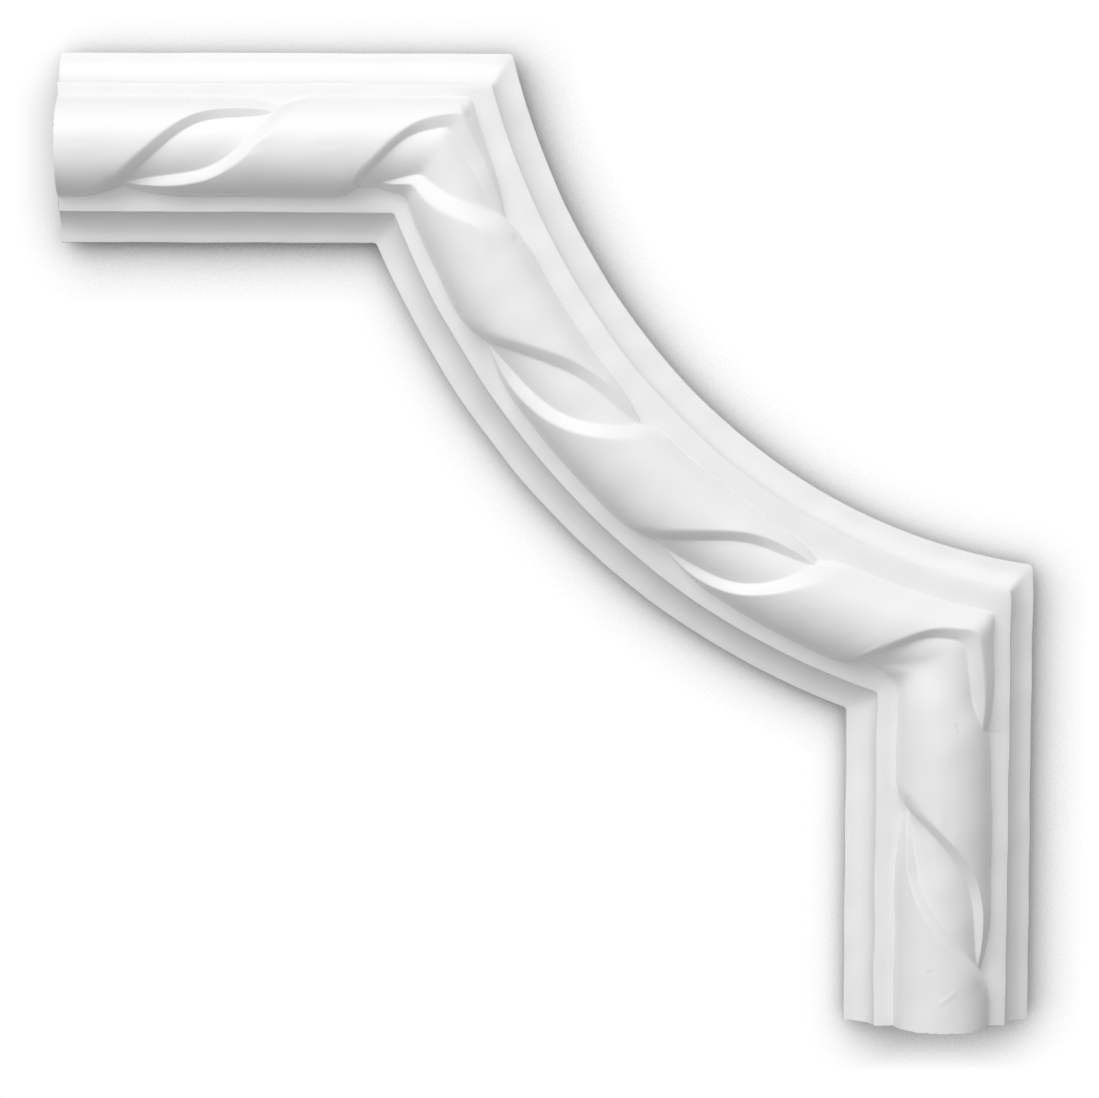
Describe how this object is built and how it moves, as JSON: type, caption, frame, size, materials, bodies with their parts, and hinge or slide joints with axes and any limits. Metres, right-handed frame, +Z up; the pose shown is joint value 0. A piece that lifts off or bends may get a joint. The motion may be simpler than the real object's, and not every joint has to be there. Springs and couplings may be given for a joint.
{
  "type": "corner ornament",
  "caption": "Scooped corner piece of a wall panel moulding, with a rod wound in ribbon between fillets and coves and a flat back.",
  "frame": {"origin": "on the flat back face, half way along the arc and half way across the moulding", "axes": "+Y points out of the back into the wall, +Z up the wall, +X to the right as seen from the front"},
  "size_m": [0.25, 0.019, 0.25],
  "materials": {
    "white_casting": "smooth matte white primer on a hard foam casting"
  },
  "bodies": {
    "root": {"corner_moulding": "white_casting"}
  },
  "joints": []
}
